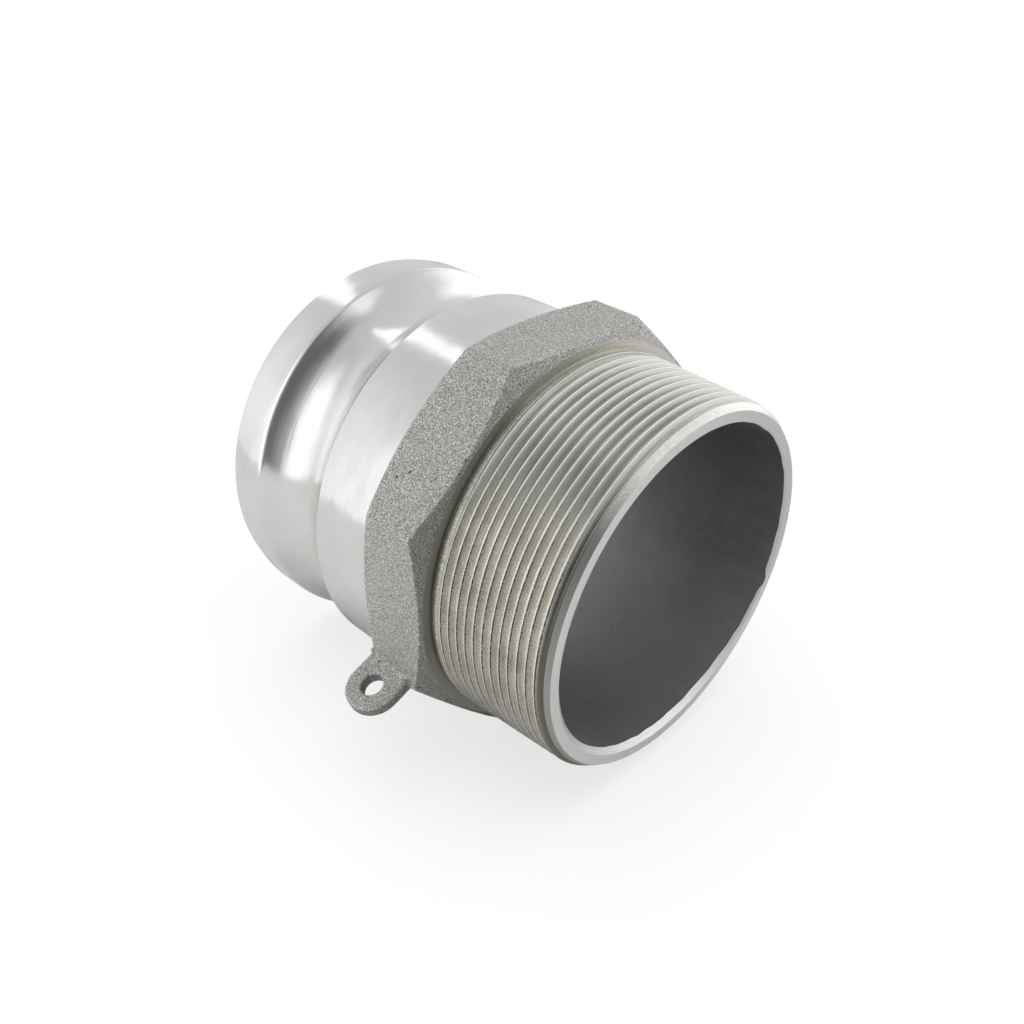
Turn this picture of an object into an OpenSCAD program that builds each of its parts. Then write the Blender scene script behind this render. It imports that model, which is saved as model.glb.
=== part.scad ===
// Cam and groove adapter with a male pipe thread, cast in one piece and turned at both ends.
// It lies on one flat of its eight-sided collar. +X runs along the waterway towards the thread,
// and the origin is the middle of the flat that it lies on.

/* [Pipe thread] */
// Major diameter of the taper thread at its gauge plane
thread_gauge_d = 87.884; // [86:0.002:89.2]
// Distance from the end face to the gauge plane
thread_gauge_l = 20.6; // [18:0.1:24]
// Length of axis over which the diameter grows by one unit
thread_taper = 16; // [14:1:20]
// Distance from crest to crest along the axis
thread_pitch = 2.309; // [2.2:0.001:2.5]
// Angle between the flanks of a groove
thread_angle = 55; // [50:1:62]
// Length from the end face to the collar
thread_l = 31.1; // [26:0.1:36]
// Distance from the end face to the middle of the first groove
thread_first_l = 1.8; // [1.6:0.1:2.6]
// Length at the collar over which the grooves become shallow
thread_runout_l = 4.6; // [2:0.1:8]
// Radial height of the lead-in chamfer at the end face
thread_lead_w = 1.6; // [0.8:0.1:2]
// Length of the lead-in chamfer behind the end face
thread_lead_l = 2.2; // [1:0.1:3]

/* [Waterway] */
// Wall from the plain cast bore to the thread's crests at the gauge plane
thread_wall = 5.942; // [5.2:0.002:9]
// Radial width of the broken edge at each mouth of the bore
bore_edge_w = 1.3; // [0.5:0.1:1.8]
// Depth of the broken edge along the bore
bore_edge_l = 1.0; // [0.5:0.1:2]

/* [Collar] */
// Number of flats for the wrench
collar_sides = 8; // [6:2:10]
// Height of the flats above the body
collar_step = 1.25; // [0.6:0.05:3]
// Width of the collar along the axis
collar_l = 17.8; // [12:0.1:24]
// Radius of the cast corners between flats
collar_corner_r = 1.5; // [0.5:0.1:4]
// Height of the flats above the edge of the turned face at each side
collar_face_drop = 0.8; // [0.4:0.05:1.6]
// Angle between a turned face and the chamfer across the corners
collar_chamfer_deg = 30; // [20:1:40]

/* [Cam spigot] */
// Wall left between the bottom of the groove and the bore
groove_wall = 2.65; // [1.5:0.05:4]
// Length from the collar to the edge of the groove
body_l = 17.2; // [14:0.1:22]
// Length from the groove's far edge to the end face
head_l = 10; // [9:0.1:13]
// Radius of the groove's round section
groove_arc_r = 13.5; // [12:0.1:15]
// Depth of the groove below the head
groove_depth = 5.1; // [4:0.1:5.4]
// Rounding of the head's edge that the cams bear on
head_edge_r = 1.8; // [1:0.1:2.4]
// Rounding of the body's edge at the groove
body_edge_r = 0.5; // [0.3:0.1:1]
// Length of the nose that leads the head into the coupler
nose_l = 3.5; // [2:0.1:5]
// Radial drop of the nose over its length
nose_drop = 0.75; // [0.4:0.05:1.2]
// Chamfer between the nose and the end face
nose_edge = 0.4; // [0.2:0.1:0.8]

/* [Chain lug] */
// Diameter of the lug's round end
lug_d = 12.4; // [10:0.1:15]
// Thickness of the lug
lug_t = 3.5; // [3:0.1:5]
// Distance from the corner of the collar to the middle of the hole
lug_out = 4.6; // [3.8:0.1:9]
// Distance from the collar's turned face on the spigot side to the hole
lug_inset = 7; // [6.2:0.1:10]
// Rounding of the lug's cast edges
lug_edge_r = 0.8; // [0.3:0.1:1.2]
// Diameter of the chain hole
hole_d = 5; // [4:0.1:6]
// Width and depth of the broken edge of the hole
hole_edge = 0.5; // [0.2:0.1:0.8]

/* [Hidden] */
$fn = 96;
past = 1;
proud = 0.01;

bore_r = thread_gauge_d / 2 - thread_wall;
// The head and the body, which the coupler slides over, have this radius
spigot_r = bore_r + groove_wall + groove_depth;

// Heights above the spigot's end face, before the part is laid down
groove_rise = groove_arc_r - groove_depth;
head_span = sqrt(pow(groove_arc_r + head_edge_r, 2) - pow(groove_rise + head_edge_r, 2));
body_span = sqrt(pow(groove_arc_r + body_edge_r, 2) - pow(groove_rise + body_edge_r, 2));
groove_z = head_l + head_span;
body_z = groove_z + body_span;
collar_z = body_z + body_l;
thread_z = collar_z + collar_l;
end_z = thread_z + thread_l;

function thread_r(z) = (thread_gauge_d + (end_z - thread_gauge_l - z) / thread_taper) / 2;

thread_depth = 0.6403 * thread_pitch;
groove_count = floor((thread_l - thread_first_l) / thread_pitch + 0.5);

collar_half = spigot_r + collar_step;
collar_face_r = collar_half - collar_face_drop;
side_angle = 360 / collar_sides;
collar_tip_r = collar_half / cos(side_angle / 2);
chamfer_l = (collar_tip_r - collar_face_r) * tan(collar_chamfer_deg);

// The lug stands at the corner just below the level of the axis, on the -Y side
lug_angle = -90 + side_angle / 2;
lug_reach = collar_tip_r + lug_out;
lug_z = collar_z + lug_inset;

// Rounded edge between the spigot's outside and the groove, cut in the half section.
// side is -1 at the head and 1 at the body. Here and at the collar the arc is larger by
// proud, so that it crosses the surfaces beside it instead of only touching them
module edge_section(r, span, side) {
    reach = groove_arc_r + r;
    touch_z = groove_z + side * span * groove_arc_r / reach;
    touch_x = spigot_r + groove_rise - (groove_rise + r) * groove_arc_r / reach;
    far_z = groove_z + side * span;
    difference() {
        polygon([[spigot_r - r, far_z], [spigot_r + past, far_z],
                 [spigot_r + past, touch_z], [touch_x, touch_z]]);
        translate([spigot_r - r, far_z]) circle(r = r + proud);
    }
}

// Half section of the spigot: nose, head, groove and body
module spigot_section() {
    nose_x = spigot_r - nose_drop;
    difference() {
        polygon([[0, 0], [nose_x - nose_edge, 0], [nose_x, nose_edge],
                 [spigot_r, nose_edge + nose_l], [spigot_r, collar_z + past],
                 [0, collar_z + past]]);
        translate([spigot_r + groove_rise, groove_z]) circle(r = groove_arc_r);
        edge_section(head_edge_r, head_span, -1);
        edge_section(body_edge_r, body_span, 1);
    }
}

// Half section of the thread: taper, lead-in chamfer, end face and grooves. The grooves are
// rings, which stand for the helix
module thread_section() {
    lead_z = end_z - thread_lead_l;
    difference() {
        polygon([[0, thread_z - past], [thread_r(thread_z - past), thread_z - past],
                 [thread_r(lead_z), lead_z], [thread_r(end_z) - thread_lead_w, end_z],
                 [0, end_z]]);
        for (i = [0:groove_count - 1]) thread_groove_section(thread_first_l + i * thread_pitch);
    }
}

// One groove, at a distance from the end face. It becomes shallow close to the collar
module thread_groove_section(from_end) {
    flank = tan(thread_angle / 2);
    bottom_half = thread_pitch / 4 - thread_depth * flank / 2;
    run = min((thread_l - from_end) / thread_runout_l, 1);
    depth = thread_depth * run * run * (3 - 2 * run);
    top_half = bottom_half + (depth + past) * flank;
    mid_z = end_z - from_end;
    crest_x = thread_r(mid_z);
    polygon([[crest_x - depth, mid_z - bottom_half], [crest_x + past, mid_z - top_half],
             [crest_x + past, mid_z + top_half], [crest_x - depth, mid_z + bottom_half]]);
}

// Outline of the collar: flats all round, with the corners between them rounded
module collar_outline() {
    corner_x = (collar_half - collar_corner_r) / cos(side_angle / 2);
    touch_x = corner_x + collar_corner_r * cos(side_angle / 2);
    difference() {
        rotate(side_angle / 2) circle(r = collar_tip_r, $fn = collar_sides);
        for (i = [0:collar_sides - 1]) rotate((i + 0.5) * side_angle) difference() {
            translate([touch_x, -collar_corner_r]) square(2 * collar_corner_r);
            translate([corner_x, 0]) circle(r = collar_corner_r + proud);
        }
    }
}

// Envelope that turns the faces of the collar and chamfers its corners
module collar_envelope_section() {
    polygon([[0, collar_z], [collar_face_r, collar_z], [collar_tip_r, collar_z + chamfer_l],
             [collar_tip_r, thread_z - chamfer_l], [collar_face_r, thread_z], [0, thread_z]]);
}

module collar() {
    intersection() {
        translate([0, 0, collar_z]) linear_extrude(collar_l) collar_outline();
        rotate_extrude() collar_envelope_section();
    }
}

// Section through the lug's edge: half_w is from its middle line to its edge
module lug_section(half_w) {
    flat_w = half_w - lug_edge_r;
    flat_t = lug_t - 2 * lug_edge_r;
    translate([0, -lug_t / 2]) square([flat_w, lug_t]);
    translate([0, -flat_t / 2]) square([half_w, flat_t]);
    for (side = [-1, 1]) translate([flat_w, side * flat_t / 2]) circle(r = lug_edge_r);
}

// Flat lug with a round end, standing out along +X from the collar's corner
module lug() {
    root_x = collar_half - 2;
    rotate([90, 0, 0]) rotate_extrude() lug_section(lug_d / 2);
    translate([root_x - lug_reach, 0, 0]) rotate([90, 0, 90]) linear_extrude(lug_reach - root_x)
        for (side = [0, 1]) mirror([0, side]) rotate(90) lug_section(lug_d / 2);
}

module lug_hole() {
    edge_z = lug_t / 2 - hole_edge;
    cylinder(d = hole_d, h = lug_t + 2 * past, center = true);
    for (side = [0, 1]) mirror([0, 0, side]) translate([0, 0, edge_z])
        cylinder(d1 = hole_d, d2 = hole_d + 4 * hole_edge, h = 2 * hole_edge);
}

// Bore with its edge broken at both mouths
module waterway_section() {
    edge_slope = bore_edge_w / bore_edge_l;
    square([bore_r, end_z]);
    polygon([[0, -past], [bore_r + bore_edge_w + past * edge_slope, -past],
             [bore_r, bore_edge_l], [0, bore_edge_l]]);
    polygon([[0, end_z + past], [bore_r + bore_edge_w + past * edge_slope, end_z + past],
             [bore_r, end_z - bore_edge_l], [0, end_z - bore_edge_l]]);
}

// The whole casting, standing on its spigot
module standing_adapter() {
    difference() {
        union() {
            rotate_extrude() spigot_section();
            collar();
            rotate_extrude() thread_section();
            rotate(lug_angle) translate([lug_reach, 0, lug_z]) lug();
        }
        rotate_extrude() waterway_section();
        rotate(lug_angle) translate([lug_reach, 0, lug_z]) rotate([90, 0, 0]) lug_hole();
    }
}

module adapter() {
    color("silver")
        translate([-(collar_z + thread_z) / 2, 0, collar_half]) rotate([0, 90, 0])
            standing_adapter();
}

adapter();
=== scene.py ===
"""Looks of the cam and groove adapter: turned spigot, cast collar with its lug, cut pipe thread."""
import math

import bmesh
import bpy
from mathutils import Matrix, Vector, noise


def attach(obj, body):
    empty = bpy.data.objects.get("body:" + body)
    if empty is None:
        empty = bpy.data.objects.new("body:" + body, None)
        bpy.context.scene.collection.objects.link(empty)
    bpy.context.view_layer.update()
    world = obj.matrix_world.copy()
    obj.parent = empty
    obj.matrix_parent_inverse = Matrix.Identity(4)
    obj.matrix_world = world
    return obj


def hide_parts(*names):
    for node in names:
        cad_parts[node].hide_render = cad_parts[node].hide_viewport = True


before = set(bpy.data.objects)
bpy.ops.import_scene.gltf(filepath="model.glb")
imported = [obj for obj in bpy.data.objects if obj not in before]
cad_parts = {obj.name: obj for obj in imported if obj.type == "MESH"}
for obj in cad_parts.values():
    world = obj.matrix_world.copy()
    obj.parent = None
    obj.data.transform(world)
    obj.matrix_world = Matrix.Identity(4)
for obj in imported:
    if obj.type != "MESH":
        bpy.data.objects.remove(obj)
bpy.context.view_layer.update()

# Sizes in millimetres, as in the part's source. X runs along the waterway towards the thread, and
# the waterway's axis lies at this height above the floor
AXIS_Z = 47.0

BORE_R = 38.0
BORE_EDGE_W = 1.3
BORE_EDGE_L = 1.0

SPIGOT_X = -58.311
SPIGOT_R = 45.75
NOSE_L = 3.5
NOSE_DROP = 0.75
NOSE_EDGE = 0.4
HEAD_X = -48.311
HEAD_EDGE_R = 1.8
GROOVE_X = -36.907
GROOVE_RISE = 8.4
BODY_X = -26.1
BODY_EDGE_R = 0.5

COLLAR_HALF_L = 8.9
COLLAR_HALF = 47.0
COLLAR_FACE_R = 46.2
COLLAR_BLANK_R = 51.6
COLLAR_SLOPE = math.tan(math.radians(30))
COLLAR_EDGE = 0.45

# The lug points to the -Y side, at this angle below the level of the axis
LUG_BELOW = math.radians(22.5)
LUG_OUT_R = 55.4724
LUG_X = -1.9
LUG_R = 6.2
LUG_T = 3.5
LUG_EDGE = 0.8
HOLE_R = 2.5
HOLE_EDGE = 0.75

END_X = 40.0
END_FACE_R = 41.7
LEAD_L = 2.2
NECK_X = 8.9
PITCH = 2.309
THREAD_HALF_ANGLE = math.radians(27.5)
THREAD_DEPTH = 0.6403 * PITCH
TAPER = 16
GAUGE_R = 43.942
GAUGE_X = END_X - 20.6

# Unseen inside the collar: the narrower stretch that joins spigot and thread, from -CORE_X to
# CORE_X, and the radius at which the collar's own faces end
CORE_X = 6.0
CORE_R = 43.0
COLLAR_ROOT_R = 42.0

# Form of the thread that the solids don't have: where the helix has its crest at angle 0, its
# rounded crests and bottoms, its run-out, and the shallow neck with the step that leads to it
FIRST_CREST_X = 15.194
CREST_ROUND = 0.07 * PITCH
BOTTOM_ROUND = 0.3
RUN_OUT_L = 2 * PITCH
RELIEF = 0.35
RELIEF_L = 0.5
RELIEF_STEP_L = 0.9

# Flare at the lug's root: where the tab is cut for it, its height, and where the tab ends
FLARE_CUTS = (4.3, 4.7, 5.0, 5.25, 5.5, 5.8)
FLARE_H = 1.3
LUG_ROOT = 8.0

# The cast bore lies off centre at the thread's mouth, so it cuts into the chamfer there. This is
# the share of the chamfer's width on average, its swing, the angle where it is widest and the
# most, and then how far into the bore this reaches
CUT_MEAN, CUT_SWING, CUT_ANGLE, CUT_MOST = 0.4, 0.55, 87.5, 0.97
CUT_REACH = 14

# Notches in the same edge: angle round the axis, half width, depth
NOTCHES = ((56.0, 2.5, -0.12), (-22.5, 2.6, 0.7), (-33.0, 22.0, 0.33))

# Steps round the axis, points over one pitch of the thread, and how far these move towards the
# crests
STEPS = 256
PITCH_POINTS = 16
CREST_CROWDING = 0.06 * PITCH

# Largest angle in degrees between two faces that are shaded as one surface
SMOOTH_ANGLE, THREAD_SMOOTH_ANGLE = 28, 75

# Order of the finishes on the casting
TURNED, CAST, THREAD, FACED, BORE = range(5)


def smooth_step(value):
    """Eases from 0 to 1 as the value goes from 0 to 1."""
    value = min(max(value, 0), 1)
    return value * value * (3 - 2 * value)


def crest_r(x):
    """Radius of the taper thread's crests at x."""
    return GAUGE_R + (GAUGE_X - x) / (2 * TAPER)


def lead_r(x):
    """Radius of the lead-in chamfer's cone at x. Here x may be a shade too."""
    slope = (crest_r(END_X - LEAD_L) - END_FACE_R) / LEAD_L
    return END_FACE_R + (END_X - x) * slope


def thread_depth(offset):
    """Depth of the thread below its crest, at an offset along the axis from the crest. The
    crest is nearly sharp, and the flanks run into a rounded bottom."""
    off = abs((offset + PITCH / 2) % PITCH - PITCH / 2)
    if off < CREST_ROUND * math.cos(THREAD_HALF_ANGLE):
        return CREST_ROUND - math.sqrt(CREST_ROUND**2 - off**2)
    flank = (off / math.tan(THREAD_HALF_ANGLE)
             - CREST_ROUND * (1 / math.sin(THREAD_HALF_ANGLE) - 1))
    share = min(max(0.5 + 0.5 * (THREAD_DEPTH - flank) / BOTTOM_ROUND, 0), 1)
    return THREAD_DEPTH * (1 - share) + flank * share - BOTTOM_ROUND * share * (1 - share)


def lines_to(bm, end, *points):
    """Carries a half section on through the points (x, radius), and returns its new end."""
    for x, r in points:
        start, end = end, bm.verts.new((x, r, 0))
        bm.edges.new((start, end))
    return end


def arc(bm, start, centre, degrees, steps):
    """Carries a half section on from its last point round a centre, and returns the new end."""
    made = bmesh.ops.spin(bm, geom=[start], cent=(*centre, 0), axis=(0, 0, 1),
                          angle=math.radians(degrees), steps=steps)
    return next(part for part in made["geom_last"] if isinstance(part, bmesh.types.BMVert))


def turn(bm, finish, rise=0.0):
    """Spins a half section over an eighth of a turn, copies that to the whole turn, rising along
    the axis where it is a thread, and gives it its finish."""
    bmesh.ops.spin(bm, geom=bm.verts[:] + bm.edges[:], cent=(0, 0, 0), axis=(1, 0, 0),
                   dvec=(rise / STEPS, 0, 0), angle=math.tau / 8, steps=STEPS // 8)
    for eighths in (1, 2, 4):
        copy = bmesh.ops.duplicate(bm, geom=bm.verts[:] + bm.edges[:] + bm.faces[:])["geom"]
        verts = [v for v in copy if isinstance(v, bmesh.types.BMVert)]
        bmesh.ops.rotate(bm, verts=verts, cent=(0, 0, 0),
                         matrix=Matrix.Rotation(eighths * math.tau / 8, 3, "X"))
        bmesh.ops.translate(bm, verts=verts, vec=(eighths * rise / 8, 0, 0))
    bmesh.ops.remove_doubles(bm, verts=bm.verts[:], dist=0.002)
    for face in bm.faces:
        face.material_index = finish
    return bm


def ring(finish, first, *points, cuts=0):
    """Turned surface through the points (x, radius)."""
    bm = bmesh.new()
    lines_to(bm, bm.verts.new((*first, 0)), *points)
    if cuts:
        bmesh.ops.subdivide_edges(bm, edges=bm.edges[:], cuts=cuts)
    return turn(bm, finish)


def spigot():
    """Gasket face, nose, head, cam groove and body, as turned. It ends at the thread's neck."""
    bm = bmesh.new()
    start = bm.verts.new((SPIGOT_X, BORE_R + BORE_EDGE_W, 0))
    nose_r = SPIGOT_R - NOSE_DROP
    end = lines_to(bm, start, (SPIGOT_X, nose_r - NOSE_EDGE), (SPIGOT_X + NOSE_EDGE, nose_r),
                   (SPIGOT_X + NOSE_EDGE + NOSE_L, SPIGOT_R), (HEAD_X, SPIGOT_R))
    head_turn = math.degrees(math.atan2(GROOVE_RISE + HEAD_EDGE_R, GROOVE_X - HEAD_X))
    body_turn = math.degrees(math.atan2(GROOVE_RISE + BODY_EDGE_R, BODY_X - GROOVE_X))
    end = arc(bm, end, (HEAD_X, SPIGOT_R - HEAD_EDGE_R), head_turn - 90, 6)
    end = arc(bm, end, (GROOVE_X, SPIGOT_R + GROOVE_RISE), 180 - head_turn - body_turn, 28)
    end = arc(bm, end, (BODY_X, SPIGOT_R - BODY_EDGE_R), body_turn - 90, 4)
    lines_to(bm, end, (-CORE_X, SPIGOT_R), (-CORE_X, CORE_R), (CORE_X, CORE_R),
             (NECK_X, crest_r(NECK_X) - RELIEF))
    return turn(bm, TURNED)


def thread():
    """Helical thread with its lead-in chamfer at the mouth and its run-out at the collar."""
    bm = bmesh.new()
    turns = math.ceil((END_X - NECK_X) / PITCH) + 2
    start_x = FIRST_CREST_X - 4 * PITCH
    start = bm.verts.new((start_x, GAUGE_R, 0))
    end = lines_to(bm, start, (start_x + turns * PITCH, GAUGE_R))
    bmesh.ops.subdivide_edges(bm, edges=end.link_edges[:], cuts=turns * PITCH_POINTS - 1)
    for vert in bm.verts:
        vert.co.x -= CREST_CROWDING * math.sin(math.tau * (vert.co.x - start_x) / PITCH)
    turn(bm, THREAD, rise=PITCH)
    for vert in bm.verts:
        x = min(max(vert.co.x, NECK_X), END_X)
        angle = math.atan2(vert.co.z, vert.co.y) % math.tau
        depth = thread_depth(vert.co.x - FIRST_CREST_X - PITCH * angle / math.tau)
        depth *= smooth_step((x - NECK_X) / RUN_OUT_L)
        depth = max(depth, RELIEF * (1 - smooth_step((x - NECK_X - RELIEF_L) / RELIEF_STEP_L)))
        r = min(crest_r(x) - depth, lead_r(x))
        vert.co = (x, r * math.cos(angle), r * math.sin(angle))
    return bm


def mouth_cut(y, z):
    """Share of the chamfer's width that the cast bore and the notches take from it."""
    angle = math.degrees(math.atan2(z, y))
    cut = CUT_MEAN + CUT_SWING * math.cos(math.radians(angle - CUT_ANGLE))
    cut += 0.12 * noise.noise((0.3 * y, 0.3 * z, 2.0))
    for spot, width, depth in NOTCHES:
        cut += depth * math.exp(-((angle - spot) / width) ** 2)
    return min(cut, CUT_MOST)


def mouth_and_bore():
    """End face at the thread, the turned chamfers and the plain cast bore. The cast bore runs a
    little off centre, so the chamfer is narrow at the top, and its edge has a few notches."""
    rim_r = BORE_R + BORE_EDGE_W
    inside, outside = END_X - BORE_EDGE_L, SPIGOT_X + BORE_EDGE_L
    reach = inside - CUT_REACH
    rings = [ring(FACED, (END_X, END_FACE_R), (END_X, rim_r)),
             ring(FACED, (END_X, rim_r), (inside, BORE_R)),
             ring(BORE, (inside, BORE_R), (inside - 5, BORE_R), (reach, BORE_R)),
             ring(BORE, (reach, BORE_R), (outside, BORE_R), cuts=10),
             ring(FACED, (outside, BORE_R), (SPIGOT_X, rim_r))]
    for bm in rings[1:3]:
        for vert in bm.verts:
            back = (inside - vert.co.x) / CUT_REACH
            if -0.01 < back < 0.99:
                cut = mouth_cut(vert.co.y, vert.co.z) * (1 - back)
                if back < 0.01:
                    vert.co.x += cut * BORE_EDGE_L
                grow = 1 + cut * BORE_EDGE_W / BORE_R
                vert.co.y *= grow
                vert.co.z *= grow
    return rings


def rounded(bm, edges, width, segments):
    """Rounds edges over a width on either side."""
    bmesh.ops.bevel(bm, geom=edges, affect="EDGES", offset=width, offset_type="OFFSET",
                    segments=segments, profile=0.5, material=-1, clamp_overlap=True)


def collar():
    """Eight-sided collar: a turned blank with its corners chamfered, cut by the flats."""
    drop = (COLLAR_BLANK_R - COLLAR_FACE_R) * COLLAR_SLOPE
    bm = ring(CAST, (-COLLAR_HALF_L, COLLAR_ROOT_R), (-COLLAR_HALF_L, COLLAR_FACE_R),
              (-COLLAR_HALF_L + drop, COLLAR_BLANK_R), (COLLAR_HALF_L - drop, COLLAR_BLANK_R),
              (COLLAR_HALF_L, COLLAR_FACE_R), (COLLAR_HALF_L, COLLAR_ROOT_R),
              (-COLLAR_HALF_L, COLLAR_ROOT_R))
    bmesh.ops.remove_doubles(bm, verts=bm.verts[:], dist=0.001)
    for side in range(8):
        angle = side * math.tau / 8
        out = Vector((0, math.cos(angle), math.sin(angle)))
        cut = bmesh.ops.bisect_plane(bm, geom=bm.verts[:] + bm.edges[:] + bm.faces[:],
                                     dist=0.0001, plane_co=out * COLLAR_HALF, plane_no=out,
                                     clear_outer=True)
        rim = [e for e in cut["geom_cut"] if isinstance(e, bmesh.types.BMEdge)]
        bmesh.ops.contextual_create(bm, geom=rim)
    bmesh.ops.recalc_face_normals(bm, faces=bm.faces[:])
    edges = [e for e in bm.edges if e.calc_face_angle(0) > math.radians(20)
             and min((v.co.yz.length for v in e.verts)) > COLLAR_FACE_R + 0.5]
    rounded(bm, edges, COLLAR_EDGE, 3)
    for face in bm.faces:
        turned = abs(abs(face.calc_center_median().x) - COLLAR_HALF_L) < 0.01
        face.material_index = THREAD if turned else CAST
    return bm


def lug():
    """Chain lug: a flat tab with a round end and a rounded hole, flared where it leaves the
    collar. It is made lying flat round its hole, with the collar on the -X side."""
    bm = bmesh.new()
    bmesh.ops.create_circle(bm, segments=64, radius=LUG_R)
    bmesh.ops.create_circle(bm, segments=64, radius=HOLE_R)
    bmesh.ops.bridge_loops(bm, edges=bm.edges[:])
    middle_r = (HOLE_R + LUG_R) / 2
    for vert in bm.verts:
        if vert.co.x < -0.01 and vert.co.xy.length > middle_r:
            vert.co.x = -LUG_ROOT
    grown = bmesh.ops.extrude_face_region(bm, geom=bm.faces[:], use_keep_orig=True)
    top = [v for v in grown["geom"] if isinstance(v, bmesh.types.BMVert)]
    bmesh.ops.translate(bm, verts=bm.verts[:], vec=(0, 0, -LUG_T / 2))
    bmesh.ops.translate(bm, verts=top, vec=(0, 0, LUG_T))
    bmesh.ops.remove_doubles(bm, verts=bm.verts[:], dist=0.001)
    bmesh.ops.recalc_face_normals(bm, faces=bm.faces[:])
    for near_hole, width, segments in ((False, LUG_EDGE, 4), (True, HOLE_EDGE, 3)):
        rim = [e for e in bm.edges if e.calc_face_angle(0) > math.radians(60)
               and abs(e.verts[0].co.z - e.verts[1].co.z) < 0.01
               and (e.verts[0].co.xy.length < middle_r) == near_hole
               and max(v.co.x for v in e.verts) > 0.1 - LUG_ROOT]
        rounded(bm, rim, width, segments)
    for near in FLARE_CUTS:
        bmesh.ops.bisect_plane(bm, geom=bm.verts[:] + bm.edges[:] + bm.faces[:], dist=0.0001,
                               plane_co=(-near, 0, 0), plane_no=(-1, 0, 0))
    flare_l = FLARE_CUTS[-1] - FLARE_CUTS[0]
    for vert in bm.verts:
        flare = min(max((-FLARE_CUTS[0] - vert.co.x) / flare_l, 0), 1)
        vert.co.z += math.copysign(FLARE_H * (1 - math.sqrt(1 - flare * flare)), vert.co.z)
    for face in bm.faces:
        face.material_index = CAST
    out = Vector((0, -math.cos(LUG_BELOW), -math.sin(LUG_BELOW)))
    along = Vector((1, 0, 0))
    place = Matrix((out, along, out.cross(along))).transposed().to_4x4()
    place.translation = out * LUG_OUT_R + along * LUG_X
    bmesh.ops.transform(bm, matrix=place, verts=bm.verts[:])
    return bm


def add_to(bm, other):
    """Moves another mesh's shapes into bm."""
    carrier = bpy.data.meshes.new("carrier")
    other.to_mesh(carrier)
    other.free()
    bm.from_mesh(carrier)
    bpy.data.meshes.remove(carrier)


def casting(finishes):
    """The whole adapter as one piece, which stands for the CAD node."""
    bm = bmesh.new()
    for part in (spigot(), thread(), *mouth_and_bore()):
        add_to(bm, part)
    bmesh.ops.remove_doubles(bm, verts=bm.verts[:], dist=0.005)
    bmesh.ops.recalc_face_normals(bm, faces=bm.faces[:])
    add_to(bm, collar())
    add_to(bm, lug())
    for edge in bm.edges:
        threaded = all(f.material_index == THREAD for f in edge.link_faces)
        limit = THREAD_SMOOTH_ANGLE if threaded else SMOOTH_ANGLE
        edge.smooth = edge.calc_face_angle(0) < math.radians(limit)
    for face in bm.faces:
        face.smooth = True
    place = Matrix.Scale(0.001, 4) @ Matrix.Translation((0, 0, AXIS_Z))
    bmesh.ops.transform(bm, matrix=place, verts=bm.verts[:])
    mesh = bpy.data.meshes.new("casting")
    bm.to_mesh(mesh)
    bm.free()
    for finish in finishes:
        mesh.materials.append(finish)
    piece = bpy.data.objects.new("casting", mesh)
    bpy.context.scene.collection.objects.link(piece)
    return piece


def feed(socket, value):
    """Links a shade to a node's socket, or sets the socket to a plain value."""
    if isinstance(value, Shade):
        value.tree.links.new(value.socket, socket)
    else:
        socket.default_value = value


class Shade:
    """A shader socket. Sums, products and the like of sockets and numbers add Math nodes."""

    def __init__(self, tree, socket=None):
        self.tree, self.socket = tree, socket

    def node(self, kind, settings=None, inputs=None, out=0):
        """Adds a node. Its settings come first, then the values or links of its sockets."""
        made = self.tree.nodes.new(kind)
        for name, value in (settings or {}).items():
            setattr(made, name, value)
        for name, value in (inputs or {}).items():
            feed(made.inputs[name], value)
        return Shade(self.tree, made.outputs[out])

    def math(self, operation, *values):
        """Math node on this value and the others."""
        return self.node("ShaderNodeMath", {"operation": operation},
                         dict(enumerate((self, *values))))

    def __add__(self, other):
        return self.math("ADD", other)

    __radd__ = __add__

    def __sub__(self, other):
        return self.math("SUBTRACT", other)

    def __rsub__(self, other):
        return self.node("ShaderNodeMath", {"operation": "SUBTRACT"}, {0: other, 1: self})

    def __mul__(self, other):
        return self.math("MULTIPLY", other)

    def __truediv__(self, other):
        return self.math("DIVIDE", other)

    def ramp(self, low, high, start=0.0, end=1.0):
        """Goes smoothly from start to end as this value goes from low to high."""
        return self.node("ShaderNodeMapRange", {"interpolation_type": "SMOOTHSTEP"},
                         {"Value": self, "From Min": low, "From Max": high,
                          "To Min": start, "To Max": end})

    def blend(self, first, second):
        """Mix of two colours by this value."""
        return self.node("ShaderNodeMix", {"data_type": "RGBA"},
                         {0: self, 6: first, 7: second}, out=2)


def grey(level, warm=0.0):
    """A grey, a little yellow where warm is above nothing."""
    return (level, level * (1 - 0.3 * warm), level * (1 - warm), 1)


def window(value, start, end, soft):
    """1 where the value lies between start and end, fading out over soft beyond them."""
    return value.ramp(start - soft, start) * value.ramp(end, end + soft, 1.0, 0.0)


def coated(colour, *coats):
    """A colour with coats over it, each given as its share and its colour."""
    for share, coat in coats:
        colour = share.blend(colour, coat)
    return colour


def stretched(place, along, across):
    """Place scaled differently along the waterway's axis and across it."""
    return place.node("ShaderNodeVectorMath", {"operation": "MULTIPLY"},
                      {0: place, 1: (along, across, across)})


def noise_at(place, scale, detail=2.0, rough=0.5):
    """Noise from 0 to 1, with about scale grains a millimetre."""
    return place.node("ShaderNodeTexNoise", {"noise_dimensions": "3D"},
                      {"Vector": place, "Scale": scale, "Detail": detail, "Roughness": rough})


def bumped(height, strength, distance=0.0002, **below):
    """Bump from a height. A bump given as Normal lies below it."""
    return height.node("ShaderNodeBump", inputs={"Strength": strength, "Distance": distance,
                                                 "Height": height, **below})


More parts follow.
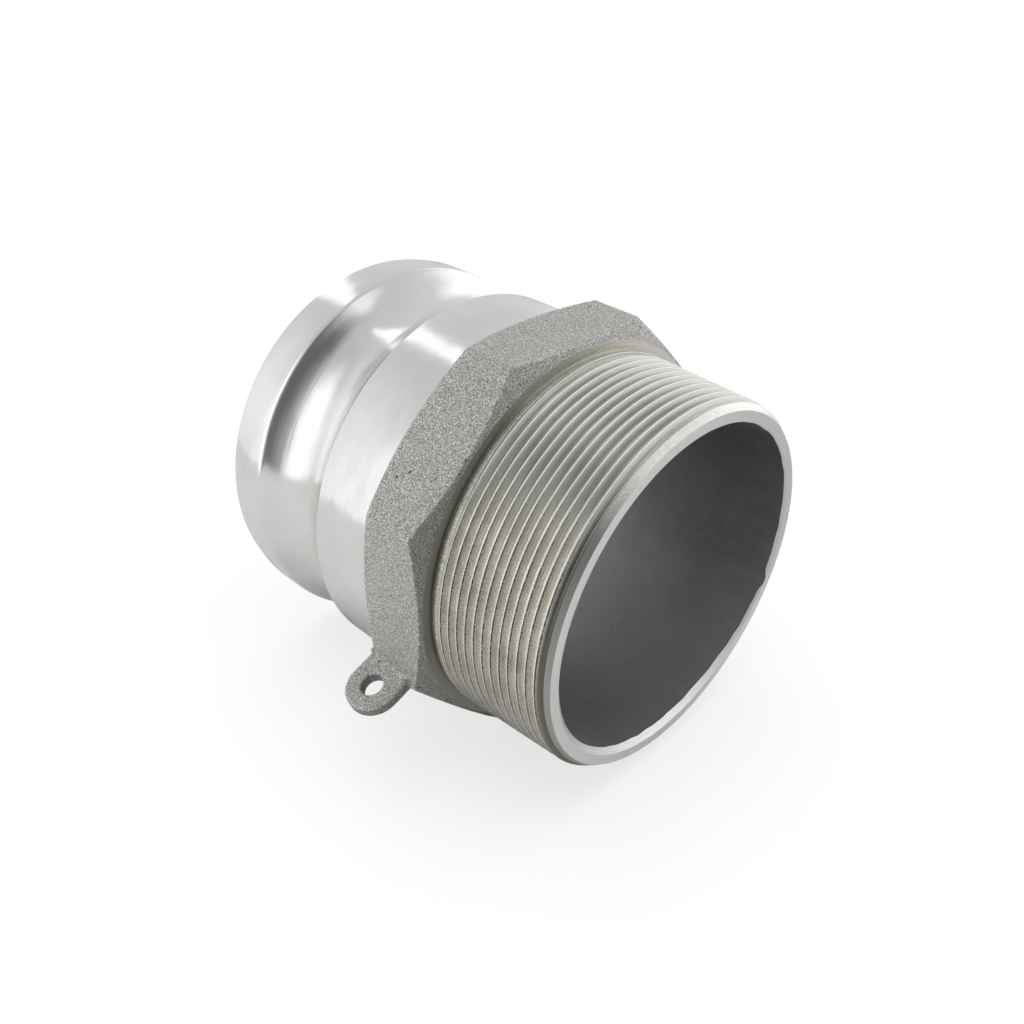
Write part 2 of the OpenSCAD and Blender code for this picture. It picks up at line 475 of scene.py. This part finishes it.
def lathe_place(root):
    """Object coordinates about the waterway's axis: (place, x, y, z, radius, angle), lengths
    in millimetres."""
    coords = root.node("ShaderNodeTexCoord", out=3)
    place = root.node("ShaderNodeMapping", {"vector_type": "POINT"},
                      {"Vector": coords, "Location": (0, 0, -AXIS_Z), "Scale": (1000, 1000, 1000)})
    parts = [root.node("ShaderNodeSeparateXYZ", inputs={"Vector": place}, out=n) for n in range(3)]
    radius = (parts[1] * parts[1] + parts[2] * parts[2]).math("SQRT")
    angle = parts[2].math("ARCTAN2", parts[1])
    return place, *parts, radius, angle


def lathe_lines(place, x, radius, pitch):
    """Fine rings left by the tool, about pitch millimetres apart, a little uneven all round."""
    rings = place.node("ShaderNodeCombineXYZ", inputs={"X": x / pitch, "Y": radius / pitch,
                                                       "Z": noise_at(place, 0.03, 1.0) * 6.0})
    return noise_at(rings, 1.0, 3.0, 0.6)


def metal(name):
    """An empty metal material, and the root of its nodes."""
    made = bpy.data.materials.new(name)
    made.use_nodes = True
    made.node_tree.nodes["Principled BSDF"].inputs["Metallic"].default_value = 1.0
    return made, Shade(made.node_tree)


def wear(made, **sockets):
    """Links or sets the sockets of the material's shader by name."""
    for name, value in sockets.items():
        feed(made.node_tree.nodes["Principled BSDF"].inputs[name.replace("_", " ")], value)


def turned_finish():
    """Bright turned aluminium of the spigot."""
    made, root = metal("turned_aluminium")
    place, x, _, _, radius, _ = lathe_place(root)
    lines = lathe_lines(place, x, radius, 0.5)
    haze = noise_at(place, 0.09, 3.0, 0.55)
    wobble = noise_at(stretched(place, 0.12, 0.05), 1.0, 2.0)
    waves = bumped(wobble, 1.0, 0.0003)
    wear(made, Base_Color=haze.ramp(0.3, 0.75).blend(grey(0.88), grey(0.82, 0.02)),
         Roughness=0.12 + lines * 0.05 + haze.ramp(0.45, 0.8) * 0.05,
         Normal=bumped(lines, 0.12, Normal=waves))
    return made


def cast_finish():
    """Sand-cast skin of the collar and the lug: grainy, with painted shade on the chamfers across
    the corners, painted highlight grains along their border, painted shade on the lug's rim under a
    painted highlight line, and a few small pits."""
    made, root = metal("cast_aluminium")
    place, x, y, z, radius, _ = lathe_place(root)
    grain = noise_at(place, 3.6, 2.0, 0.7)
    coarse = noise_at(place, 0.6, 2.0)
    pits = noise_at(place, 0.55, 1.0).ramp(0.74, 0.77)
    inside = COLLAR_HALF_L - x.math("ABSOLUTE") - (radius - COLLAR_FACE_R) * COLLAR_SLOPE
    inside = inside + (noise_at(place, 1.3, 2.0) - 0.5) * 0.5
    # Painted shade on the chamfers across the corners, stronger low down
    chamfer = window(inside, -0.3, 0.06, 0.1) * radius.ramp(50.3, 50.7, 1.0, 0.0)
    # Painted highlight: bright grains along the chamfers' rounded border
    border = window(inside, 0.15, 0.45, 0.12) * noise_at(place, 1.6, 2.0).ramp(0.5, 0.6)
    # The lug's tab lies beyond the collar, and level is the height above the tab's middle plane
    tab = radius.ramp(50.6, 51.4)
    level = z * math.cos(LUG_BELOW) - y * math.sin(LUG_BELOW)
    # Painted shade on the lug's rounded rim
    rim = tab * level.ramp(0.7, 1.3, 1.0, 0.0)
    # Painted highlight line along the lug's edge, above its rim
    ridge_highlight = tab * window(level, 1.35, 1.6, 0.12) * grain.ramp(0.42, 0.55)
    skin = grain.ramp(0.38, 0.64).blend((0.28, 0.275, 0.265, 1), (0.95, 0.935, 0.91, 1))
    colour = coated(skin,
                    (coarse.ramp(0.3, 0.7) * 0.2, (0.42, 0.415, 0.4, 1)),
                    (chamfer * z.ramp(18, 46, 0.5, 0.12), (0.16, 0.157, 0.145, 1)),
                    (border * 0.6, (0.85, 0.84, 0.8, 1)),
                    (rim * 0.5, (0.13, 0.128, 0.12, 1)),
                    (ridge_highlight * 0.5, (0.95, 0.94, 0.91, 1)),
                    (pits * 0.8, (0.1, 0.1, 0.09, 1)))
    wear(made, Base_Color=colour, Roughness=0.55,
         Normal=bumped(grain + coarse * 0.6 - pits * 1.5, 0.9, 0.0003))
    return made


def thread_finish():
    """Cut thread with its neck and lead-in, in warm grey, with light and shade painted on. The
    phase runs from 0 at one crest to 1 at the next. A painted highlight on the crest is followed by
    a line of chatter marks, painted shade in the bottom, a painted highlight on the flank and a
    painted shade line. The painted bands turn softer and paler high up, and fade low down."""
    made, root = metal("thread_aluminium")
    place, x, y, z, radius, angle = lathe_place(root)
    phase = ((x - FIRST_CREST_X) / PITCH - angle / math.tau).math("FRACT")
    grain = noise_at(place, 3.6, 2.0, 0.7)
    patch = noise_at(place, 0.16, 3.0, 0.6)
    lines = lathe_lines(place, x, radius, 0.22)
    ticks = noise_at(stretched(place, 0.7, 4.2), 1.0, 1.0)
    # High up the thread gets a painted grey sheen, paler tone, softer painted bands and less
    # roughness
    shine = z.ramp(17, 37)
    cut = window(x, NECK_X + 1.2, END_X - 2.2, 0.6)
    # Strength of the painted light and shade bands, fading low down
    banded = z.ramp(-30, 8, 0.15, 1.0) * cut

    # Painted highlight along each crest, dimmer low down
    crest = (phase.ramp(0.01, 0.035, 1.0, 0.0) + phase.ramp(0.96, 0.985)) * cut
    crest = crest * z.ramp(-32, -2, 0.6, 1.0)
    # Chatter marks from the tool; how they fade high up and low down is painted, following the
    # light
    chatter = window(phase, 0.06, 0.1, 0.025) * noise_at(place, 3.4, 2.0, 0.6).ramp(0.4, 0.5) * cut
    chatter = chatter * (1 - shine * 0.85) * z.ramp(-26, 0, 0.3, 1.0)
    # Painted shade in the bottom of each groove, which is also rougher
    bottom = phase.ramp(0.1, 0.45, 0.7, 0.0) * banded
    # Painted highlight on the flank
    flank = phase.ramp(0.22, 0.68) * phase.ramp(0.77, 0.85, 1.0, 0.0) * banded
    # Painted shade line before the next crest
    shade_line = window(phase, 0.86, 0.93, 0.03) * banded
    # Painted highlight near the crests high up
    gleam = (phase.ramp(0.02, 0.3, 1.0, 0.0) + phase.ramp(0.72, 0.96)) * shine * cut
    # Painted shade on the flanks low down
    low_flank_shade = phase.ramp(0.25, 0.6) * phase.ramp(0.9, 0.95, 1.0, 0.0) * z.ramp(-32, 4, 1.0, 0.0)

    nicks = noise_at(stretched(place, 0.3, 2.8), 1.0, 0.0).ramp(0.47, 0.55)
    nicks = nicks * window(x, NECK_X + 0.6, NECK_X + 1.5, 0.4)
    scratches = window((x / 0.65).math("FRACT"), 0.35, 0.65, 0.2)
    scratches = scratches * window(x, NECK_X + 0.6, NECK_X + 2.5, 0.3)
    ledge = x.ramp(NECK_X + 0.1, NECK_X + 0.3, 1.0, 0.0)
    # Painted shade on the neck's ledge, mostly on the -Y side
    ledge_shade = ledge * y.ramp(-44, 5, 0.75, 0.1) * z.ramp(-34, -4, 0.3, 1.0)
    # Painted shade in the corner where the ledge meets the thread, at the sides
    corner_shade = x.ramp(NECK_X + 0.4, NECK_X + 0.8, 1.0, 0.0) * radius.ramp(43.9, 44.6, 1.0, 0.0)
    corner_shade = corner_shade * window(z, -6, 8, 26)

    lead_in = x.ramp(END_X - 2.4, END_X - 1.9)
    ends = lead_in + window(x, NECK_X + 1.0, NECK_X + 2.6, 1.2)
    # At the sides the lead-in is rougher, and painted shade darkens it there
    dull_and_shaded = lead_in * window(z, -26, 26, 12)
    # Painted shade in the last groove before the lead-in, except high up
    last_groove_shade = (lead_r(x) - radius).ramp(0.08, 0.35) * x.ramp(END_X - 2.7, END_X - 2.3)
    last_groove_shade = last_groove_shade * z.ramp(24, 40, 1.0, 0.0)

    rough = grain.ramp(0.38, 0.6) * (1 - shine * 0.75) + shine * 0.3
    # Tone from patches, tool rings and grain, painted paler and more even high up
    tone = (patch * 0.3 + lines * 0.2 + grain * 0.5).ramp(0.36, 0.64) * (1 - shine * 0.6)
    tone = tone + shine * 0.35
    colour = coated(tone.blend((0.5, 0.49, 0.425, 1), (0.98, 0.965, 0.88, 1)),
                    (flank * (0.3 + rough * 0.6) * (1 - shine * 0.7), (1.0, 0.985, 0.91, 1)),
                    (bottom * (1 - rough * 0.35) * 0.7, (0.3, 0.294, 0.25, 1)),
                    # painted grey sheen high up
                    (shine * 0.55, (0.42, 0.42, 0.41, 1)),
                    (gleam * 0.55, (1.0, 0.995, 0.97, 1)),
                    (low_flank_shade * cut * 0.45, (0.16, 0.157, 0.14, 1)),
                    # painted shade, darker towards the bottom
                    (z.ramp(-32, 2, 0.6, 0.0), (0.4, 0.39, 0.365, 1)),
                    (lead_in, (0.9, 0.895, 0.87, 1)),
                    (ends * ticks.ramp(0.42, 0.6) * 0.25, (0.3, 0.295, 0.26, 1)),
                    (dull_and_shaded * 0.8, (0.34, 0.34, 0.325, 1)),
                    (shade_line * 0.85, (0.16, 0.157, 0.13, 1)),
                    (chatter * 0.95, (0.06, 0.058, 0.05, 1)),
                    (last_groove_shade * 0.8, (0.12, 0.115, 0.09, 1)),
                    (nicks * 0.4, (0.16, 0.156, 0.13, 1)),
                    (scratches * 0.45, (0.12, 0.117, 0.09, 1)),
                    (ledge * 0.8, (0.76, 0.75, 0.67, 1)),
                    (ledge_shade, (0.22, 0.218, 0.185, 1)),
                    (corner_shade * 0.6, (0.14, 0.138, 0.11, 1)),
                    (crest, (1.0, 0.995, 0.94, 1)))
    # Less metal where highlights are painted on crests, flanks and high up, so they show in the
    # colour
    painted_highlight_nonmetal = crest * 0.85 + flank * (0.55 - shine * 0.5) + gleam * (1 - crest) * 0.3
    height = lines * 0.4 + grain * (0.4 - shine * 0.3) - chatter + ends * ticks * 0.6
    wear(made, Base_Color=colour, Metallic=1 - painted_highlight_nonmetal - ends * (1 - dull_and_shaded) * 0.3,
         Roughness=0.34 - crest * 0.1 + bottom * 0.12 + dull_and_shaded * 0.12 - shine * 0.12,
         Normal=bumped(height, 0.7))
    return made


def faced_finish():
    """Faced ends: light, with rings from the tool, and painted shade towards the top and +Y."""
    made, root = metal("faced_aluminium")
    place, x, y, z, radius, _ = lathe_place(root)
    lines = lathe_lines(place, x, radius, 0.3)
    colour = lines.ramp(0.3, 0.7).blend(grey(0.8), grey(0.92))
    # Painted shade towards the top and the +Y side
    colour = (z.ramp(-38, 0) * y.ramp(-36, 30, 0.35, 1.0)).blend(colour, grey(0.62))
    wear(made, Base_Color=colour, Roughness=0.4, Normal=bumped(lines, 0.2))
    return made


def bore_finish():
    """Dull cast wall of the bore, with painted light at the bottom, and a few dark specks."""
    made, root = metal("bore_aluminium")
    place, _, _, z, _, _ = lathe_place(root)
    grain = noise_at(place, 1.2, 3.0, 0.6)
    patch = noise_at(place, 0.12, 4.0, 0.6)
    specks = noise_at(place, 0.9, 1.0).ramp(0.72, 0.76)
    mottle = (patch * 0.7 + grain * 0.3).ramp(0.3, 0.7)
    colour = coated(mottle.blend((0.29, 0.3, 0.295, 1), (0.36, 0.37, 0.36, 1)),
                    # painted light, lighter towards the bottom
                    (z.ramp(-42, -6, 0.6, 0.0), (0.69, 0.71, 0.7, 1)),
                    (specks * 0.3, (0.12, 0.12, 0.115, 1)))
    wear(made, Base_Color=colour, Roughness=0.5, Normal=bumped(grain - specks, 0.15))
    return made


def dot(way, x, y, z):
    """Product of a direction with the vector (x, y, z)."""
    return way.node("ShaderNodeVectorMath", {"operation": "DOT_PRODUCT"},
                    {0: way, 1: (x, y, z)}, out=1)


def panel(way, azimuth, across, up, lean=0.0):
    """Panel in the studio, 1 inside and 0 outside. Azimuth 0 is the -Y side and 90 the +X side.
    Across holds four degrees from the azimuth, where the panel begins, is full, is still full and
    ends; up does the same for the elevation. It leans by lean degrees for each one up."""
    turn_z = math.radians(azimuth)
    side = dot(way, math.cos(turn_z), math.sin(turn_z), 0)
    front = dot(way, math.sin(turn_z), -math.cos(turn_z), 0)
    above = dot(way, 0, 0, 1).math("ARCSINE") * (180 / math.pi)
    beside = side.math("ARCTAN2", front) * (180 / math.pi) - above * lean
    return (beside.ramp(across[0], across[1]) * beside.ramp(across[2], across[3], 1.0, 0.0)
            * above.ramp(up[0], up[1]) * above.ramp(up[2], up[3], 1.0, 0.0))


def floor():
    """White floor just below the part. The camera sees it glow towards white with distance, and
    the part reflects it near by and the room further off."""
    mesh = bpy.data.meshes.new("floor")
    bm = bmesh.new()
    bmesh.ops.create_grid(bm, x_segments=1, y_segments=1, size=6)
    bm.to_mesh(mesh)
    bm.free()
    piece = bpy.data.objects.new("floor", mesh)
    piece.location.z = -0.0001
    bpy.context.scene.collection.objects.link(piece)
    made = bpy.data.materials.new("white_floor")
    made.use_nodes = True
    root = Shade(made.node_tree)
    camera = root.node("ShaderNodeLightPath", out=0)
    glossy = root.node("ShaderNodeLightPath", out=3)
    spot = root.node("ShaderNodeTexCoord", out=3)
    far = spot.node("ShaderNodeVectorMath", {"operation": "LENGTH"}, {0: spot}, out=1)
    tone = glossy.blend(grey(0.95), (0.6, 0.59, 0.58, 1))
    paint = root.node("ShaderNodeBsdfDiffuse", inputs={"Color": tone})
    glow = root.node("ShaderNodeEmission", inputs={"Color": grey(1.0), "Strength": 1.0})
    clear = root.node("ShaderNodeBsdfTransparent")
    glowing = camera * far.ramp(0.25, 0.8, 0.72, 1.0) + glossy * 0.05
    table = root.node("ShaderNodeMixShader", inputs={0: glowing, 1: paint, 2: glow})
    mix = root.node("ShaderNodeMixShader", inputs={0: glossy * far.ramp(0.32, 0.36),
                                                   1: table, 2: clear})
    feed(made.node_tree.nodes["Material Output"].inputs["Surface"], mix)
    mesh.materials.append(made)


def room():
    """World: white to the camera, and for the light a pale room with soft panels and a dark one."""
    world = bpy.data.worlds.new("studio")
    bpy.context.scene.world = world
    world.use_nodes = True
    tree = world.node_tree
    root = Shade(tree)
    for old in list(tree.nodes):
        if old.type == "BACKGROUND":
            tree.nodes.remove(old)
    way = root.node("ShaderNodeTexCoord", out=0)
    level = dot(way, -0.2, 1, 0).ramp(-1.0, 1.0, 0.5, 0.68)
    glow = panel(way, -42, (-60, -25, 30, 55), (-60, -50, 10, 58))
    level = level + glow * (0.92 - level)
    dark = panel(way, 50, (-54, -4, 6, 46), (-60, -30, 56, 88), lean=0.1)
    level = level * (1 - dark * 0.74)
    for lit, full in ((panel(way, -15, (-40, -16, 6, 30), (-50, -40, 34, 66)), 1.25),
                      (panel(way, -175, (-40, -22, 12, 38), (-50, -40, 22, 44)), 1.25),
                      (panel(way, 108, (-20, -5, 8, 24), (40, 52, 68, 80)), 1.0),
                      (panel(way, 135, (-42, -14, 12, 30), (-25, -10, 24, 42)), 1.1),
                      (panel(way, -115, (-7, -3.5, 3.5, 7), (-50, -40, 68, 80), lean=0.28), 1.25)):
        level = level + lit * (full - level)
    wall = root.node("ShaderNodeBackground", inputs={"Color": grey(1.0), "Strength": level})
    white = root.node("ShaderNodeBackground", inputs={"Color": grey(1.0), "Strength": 1.0})
    camera = root.node("ShaderNodeLightPath", out=0)
    mix = root.node("ShaderNodeMixShader", inputs={0: camera, 1: wall, 2: white})
    feed(tree.nodes["World Output"].inputs["Surface"], mix)


def lamp():
    """Large soft lamp above, which gives the floor its light and the part its shadow."""
    light = bpy.data.lights.new("floor_softbox", "AREA")
    light.shape = "DISK"
    light.size = 1.6
    light.energy = 13
    box = bpy.data.objects.new("floor_softbox", light)
    box.location = (0, 0, 1.4)
    box.visible_glossy = False
    bpy.context.scene.collection.objects.link(box)


def photo_camera():
    """Camera at the photograph's place and angle."""
    lens = bpy.data.cameras.new("photo_camera")
    lens.lens = 36.115
    lens.sensor_width = 36
    lens.shift_x, lens.shift_y = -0.06271, 0.05013
    lens.clip_start = 0.01
    camera = bpy.data.objects.new("photo_camera", lens)
    camera.location = (0.13358, -0.1505, 0.17983)
    camera.rotation_euler = [math.radians(a) for a in (54.1775, -3.3091, 41.8059)]
    bpy.context.scene.collection.objects.link(camera)
    bpy.context.scene.camera = camera


photo_camera()
piece = casting([turned_finish(), cast_finish(), thread_finish(), faced_finish(), bore_finish()])
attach(piece, "root")
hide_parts("adapter")
floor()
room()
lamp()
bpy.context.scene.view_settings.view_transform = "Standard"
